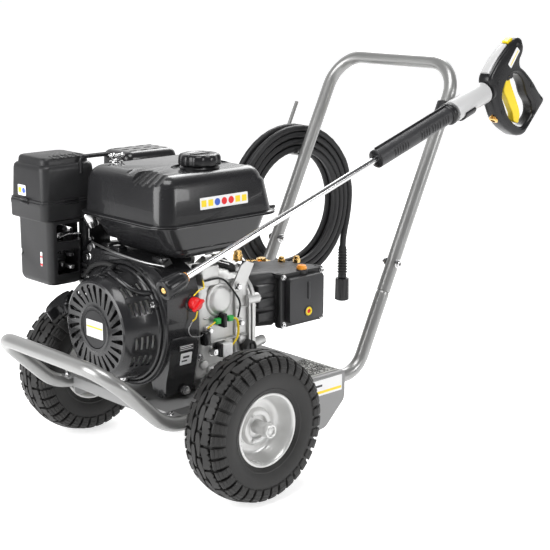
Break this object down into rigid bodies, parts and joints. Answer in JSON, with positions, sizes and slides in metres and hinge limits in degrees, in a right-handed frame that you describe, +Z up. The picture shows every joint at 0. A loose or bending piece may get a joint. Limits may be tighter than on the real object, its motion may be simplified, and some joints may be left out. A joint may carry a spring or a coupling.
{
  "type": "pressure washer",
  "caption": "Petrol pressure washer on a two-wheeled tube trolley, with engine, plunger pump, trigger gun with lance, and a coiled high-pressure hose on a hook.",
  "frame": {"origin": "on the ground, under the middle of the whole machine without its hose", "axes": "+Z up, +X from the engine and wheels towards the push handle, +Y away from the side that the lance rests on"},
  "size_m": [1.0754, 0.575, 0.7442],
  "materials": {
    "frame_paint": "semi-gloss silver-grey paint",
    "deck_paint": "satin grey paint",
    "rim_paint": "satin silver paint",
    "tyre": "matt moulded rubber",
    "rubber": "matt",
    "mat": "coarse anti-slip",
    "bright_steel": "bright plated",
    "machined_steel": "turned",
    "cast_aluminium": "fine sand cast",
    "black_enamel": "satin black enamel",
    "black_plastic": "moulded, slightly textured",
    "rope": "braided cord",
    "red_plastic": "moulded",
    "yellow_plastic": "moulded",
    "coupling_grey": "smooth light grey",
    "pump_black": "satin black",
    "pump_grey": "satin dark grey",
    "brass": "machined"
  },
  "bodies": {
    "trolley": {"chassis_tube": "frame_paint", "platform": "deck_paint", "step_mat": "mat", "stand_foot_left": "rubber", "stand_foot_right": "rubber", "axle": "bright_steel", "axle_cap_left": "bright_steel", "axle_cap_right": "bright_steel", "push_handle": "frame_paint", "handle_bolt_left": "bright_steel", "handle_bolt_right": "bright_steel", "hose_hook": "frame_paint", "lance_holder": "black_plastic", "crankcase": "cast_aluminium", "cylinder_head": "cast_aluminium", "rocker_cover": "black_enamel", "fan_shroud": "black_enamel", "recoil_cover": "black_enamel", "fuel_tank": "black_enamel", "air_filter_base": "black_plastic", "carburettor": "cast_aluminium", "control_cover": "black_plastic", "muffler": "machined_steel", "muffler_shield": "black_enamel", "pump_adapter": "cast_aluminium", "pump_body": "pump_black", "pump_cover": "pump_grey", "pump_head": "brass", "pump_outlet": "brass", "hose_lead": "rubber", "hose_union": "black_plastic", "hose_coil": "rubber", "hose_tail": "rubber", "hose_bend_guard": "rubber", "hose_connector": "black_plastic"},
    "wheel_left": {"rim_left": "rim_paint", "tyre_left": "tyre"},
    "wheel_right": {"rim_right": "rim_paint", "tyre_right": "tyre"},
    "gun": {"gun_body": "black_plastic", "lance_tube": "bright_steel", "lance_grip": "black_plastic"},
    "trigger_lever": {"trigger": "yellow_plastic"},
    "safety_slide": {"safety_button": "yellow_plastic"},
    "lance_coupling": {"coupling_nut": "coupling_grey"},
    "nozzle": {"nozzle_nut": "black_plastic"},
    "starter_pull": {"starter_grip": "black_plastic", "starter_rope": "rope"},
    "starter_reel": {"starter_pulley": "black_plastic"},
    "crank": {"crankshaft": "machined_steel", "flywheel": "cast_aluminium"},
    "pump_drive": {"pump_shaft": "machined_steel"},
    "stop_switch": {"engine_switch": "red_plastic"},
    "choke": {"choke_lever": "black_plastic"},
    "fuel_valve": {"fuel_valve_lever": "black_plastic"},
    "throttle": {"throttle_lever": "bright_steel"},
    "tank_cap": {"fuel_cap": "black_plastic"},
    "filter_lid": {"air_filter_cover": "black_plastic"},
    "engine_oil_plug": {"oil_filler_plug": "rubber"},
    "pump_oil_plug": {"pump_oil_cap": "yellow_plastic"}
  },
  "joints": [
    {"name": "wheel_left_spin", "type": "hinge", "parent": "trolley", "child": "wheel_left", "pos_m": [-0.28535, -0.245, 0.13], "axis": [0, 1, 0], "continuous": true},
    {"name": "wheel_right_spin", "type": "hinge", "parent": "trolley", "child": "wheel_right", "pos_m": [-0.28535, 0.245, 0.13], "axis": [0, 1, 0], "continuous": true},
    {"name": "gun_lift_off", "type": "slide", "parent": "trolley", "child": "gun", "axis": [0, 0, 1], "range_m": [0, 0.3]},
    {"name": "trigger_pull", "type": "hinge", "parent": "gun", "child": "trigger_lever", "pos_m": [0.42215, -0.2, 0.6715], "axis": [0, 1, 0], "range_deg": [-12, 0], "stiffness_Nm_per_rad": 3, "springref_deg": 5.73},
    {"name": "safety_slide", "type": "slide", "parent": "gun", "child": "safety_slide", "axis": [0.8944, 0, 0.4472], "range_m": [0, 0.005]},
    {"name": "coupling_turn", "type": "hinge", "parent": "gun", "child": "lance_coupling", "pos_m": [0.30913, -0.2, 0.62574], "axis": [0.95, 0, 0.3123], "range_deg": [0, 180]},
    {"name": "nozzle_turn", "type": "hinge", "parent": "gun", "child": "nozzle", "pos_m": [-0.42235, -0.2, 0.38525], "axis": [0.95, 0, 0.3123], "range_deg": [0, 180]},
    {"name": "starter_pull", "type": "slide", "parent": "trolley", "child": "starter_pull", "axis": [0, 1, 0], "range_m": [0, 0.18], "stiffness_N_per_m": 40, "springref_m": -0.1},
    {"name": "starter_reel", "type": "hinge", "parent": "trolley", "child": "starter_reel", "pos_m": [-0.39035, 0, 0.274], "axis": [-1, 0, 0], "range_deg": [0, 260]},
    {"name": "crank_spin", "type": "hinge", "parent": "trolley", "child": "crank", "pos_m": [-0.28535, 0, 0.274], "axis": [1, 0, 0], "continuous": true},
    {"name": "pump_shaft_spin", "type": "hinge", "parent": "trolley", "child": "pump_drive", "pos_m": [-0.08535, 0, 0.274], "axis": [1, 0, 0], "continuous": true},
    {"name": "stop_switch_turn", "type": "hinge", "parent": "trolley", "child": "stop_switch", "pos_m": [-0.30535, -0.1125, 0.32], "axis": [0, 1, 0], "range_deg": [0, 60]},
    {"name": "choke_turn", "type": "hinge", "parent": "trolley", "child": "choke", "pos_m": [-0.38735, 0.156, 0.378], "axis": [0, 0, 1], "range_deg": [-30, 30]},
    {"name": "fuel_valve_turn", "type": "hinge", "parent": "trolley", "child": "fuel_valve", "pos_m": [-0.38735, 0.156, 0.356], "axis": [0, 0, 1], "range_deg": [-30, 30]},
    {"name": "throttle_turn", "type": "hinge", "parent": "trolley", "child": "throttle", "pos_m": [-0.34535, 0.1255, 0.401], "axis": [0, 1, 0], "range_deg": [-20, 25]},
    {"name": "tank_cap_turn", "type": "hinge", "parent": "trolley", "child": "tank_cap", "pos_m": [-0.23535, -0.05, 0.55], "axis": [0, 0, 1], "range_deg": [0, 90]},
    {"name": "filter_lid_lift", "type": "slide", "parent": "trolley", "child": "filter_lid", "axis": [0, 0, 1], "range_m": [0, 0.12]},
    {"name": "engine_oil_plug_turn", "type": "hinge", "parent": "trolley", "child": "engine_oil_plug", "pos_m": [-0.17335, -0.1003, 0.215], "axis": [0, -1, 0], "range_deg": [0, 180]},
    {"name": "pump_oil_plug_turn", "type": "hinge", "parent": "trolley", "child": "pump_oil_plug", "pos_m": [-0.01135, -0.077, 0.33], "axis": [0, 0, 1], "range_deg": [0, 180]}
  ],
  "couplings": [
    {"joint": "starter_reel", "follows": "starter_pull", "rad_per_m": 25},
    {"joint": "pump_shaft_spin", "follows": "crank_spin", "ratio": 1}
  ]
}
